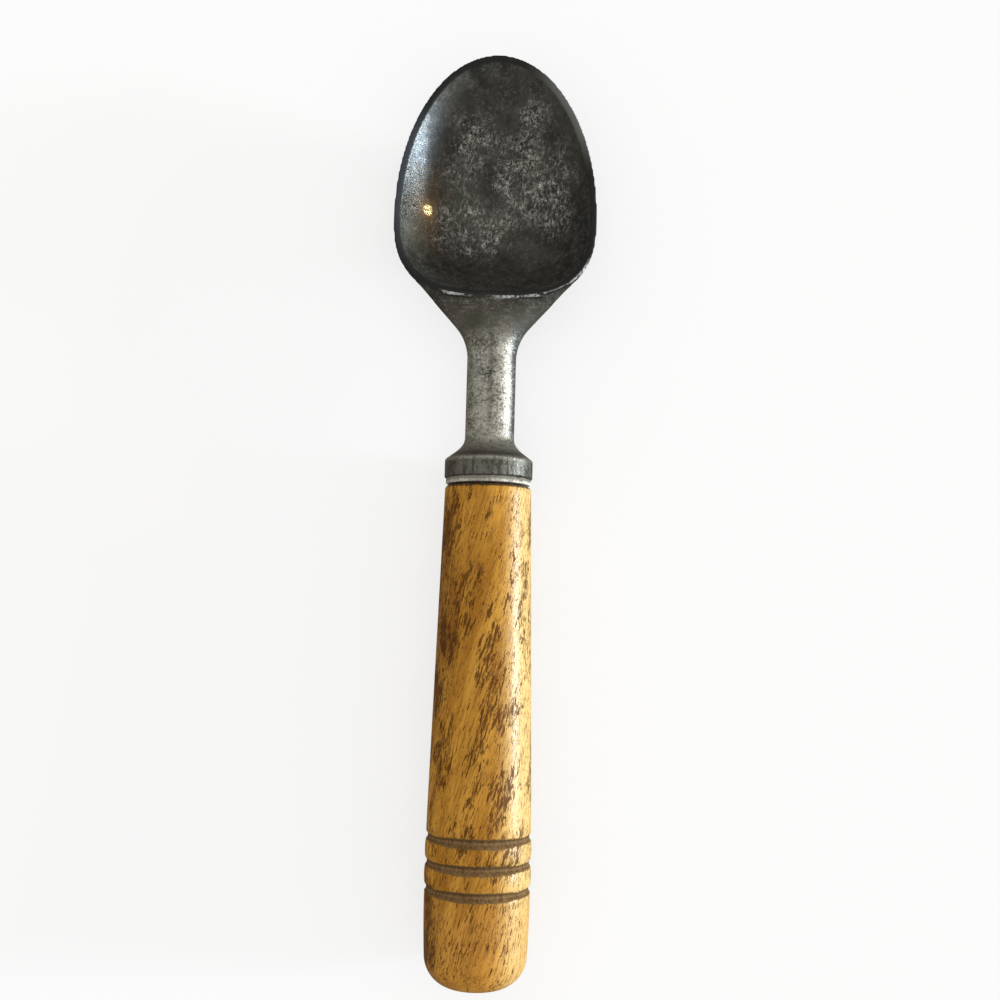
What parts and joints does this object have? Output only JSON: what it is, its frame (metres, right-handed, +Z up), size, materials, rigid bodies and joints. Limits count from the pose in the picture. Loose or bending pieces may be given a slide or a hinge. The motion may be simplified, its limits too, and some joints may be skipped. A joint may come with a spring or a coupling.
{
  "type": "ice cream scoop",
  "caption": "Ice cream scoop with a fixed, egg-shaped cast bowl, a flared neck and round collar, and a turned wooden handle with grooves and a rounded butt.",
  "frame": {"origin": "middle of the scoop's length and width, on the surface that it lies on", "axes": "the scoop lies on its back: +Y runs from the handle's butt to the tip of the bowl, +Z is up out of the bowl, and X runs across, with the two sides mirror images"},
  "size_m": [0.0462, 0.2102, 0.0237],
  "materials": {
    "cast_aluminium": "old sand-cast aluminium, dark with age, with fine pale scratches in the bowl and a worn bright lip",
    "steel": "plain turned steel rod, hidden in the handle",
    "fibre": "pale pressed fibre with a rough, stained edge",
    "varnished_wood": "honey-coloured varnished wood with short brown pore flecks, and raw brown turned grooves"
  },
  "bodies": {
    "root": {"scoop_head": "cast_aluminium", "tang": "steel", "seat_washer": "fibre", "handle": "varnished_wood"}
  },
  "joints": []
}
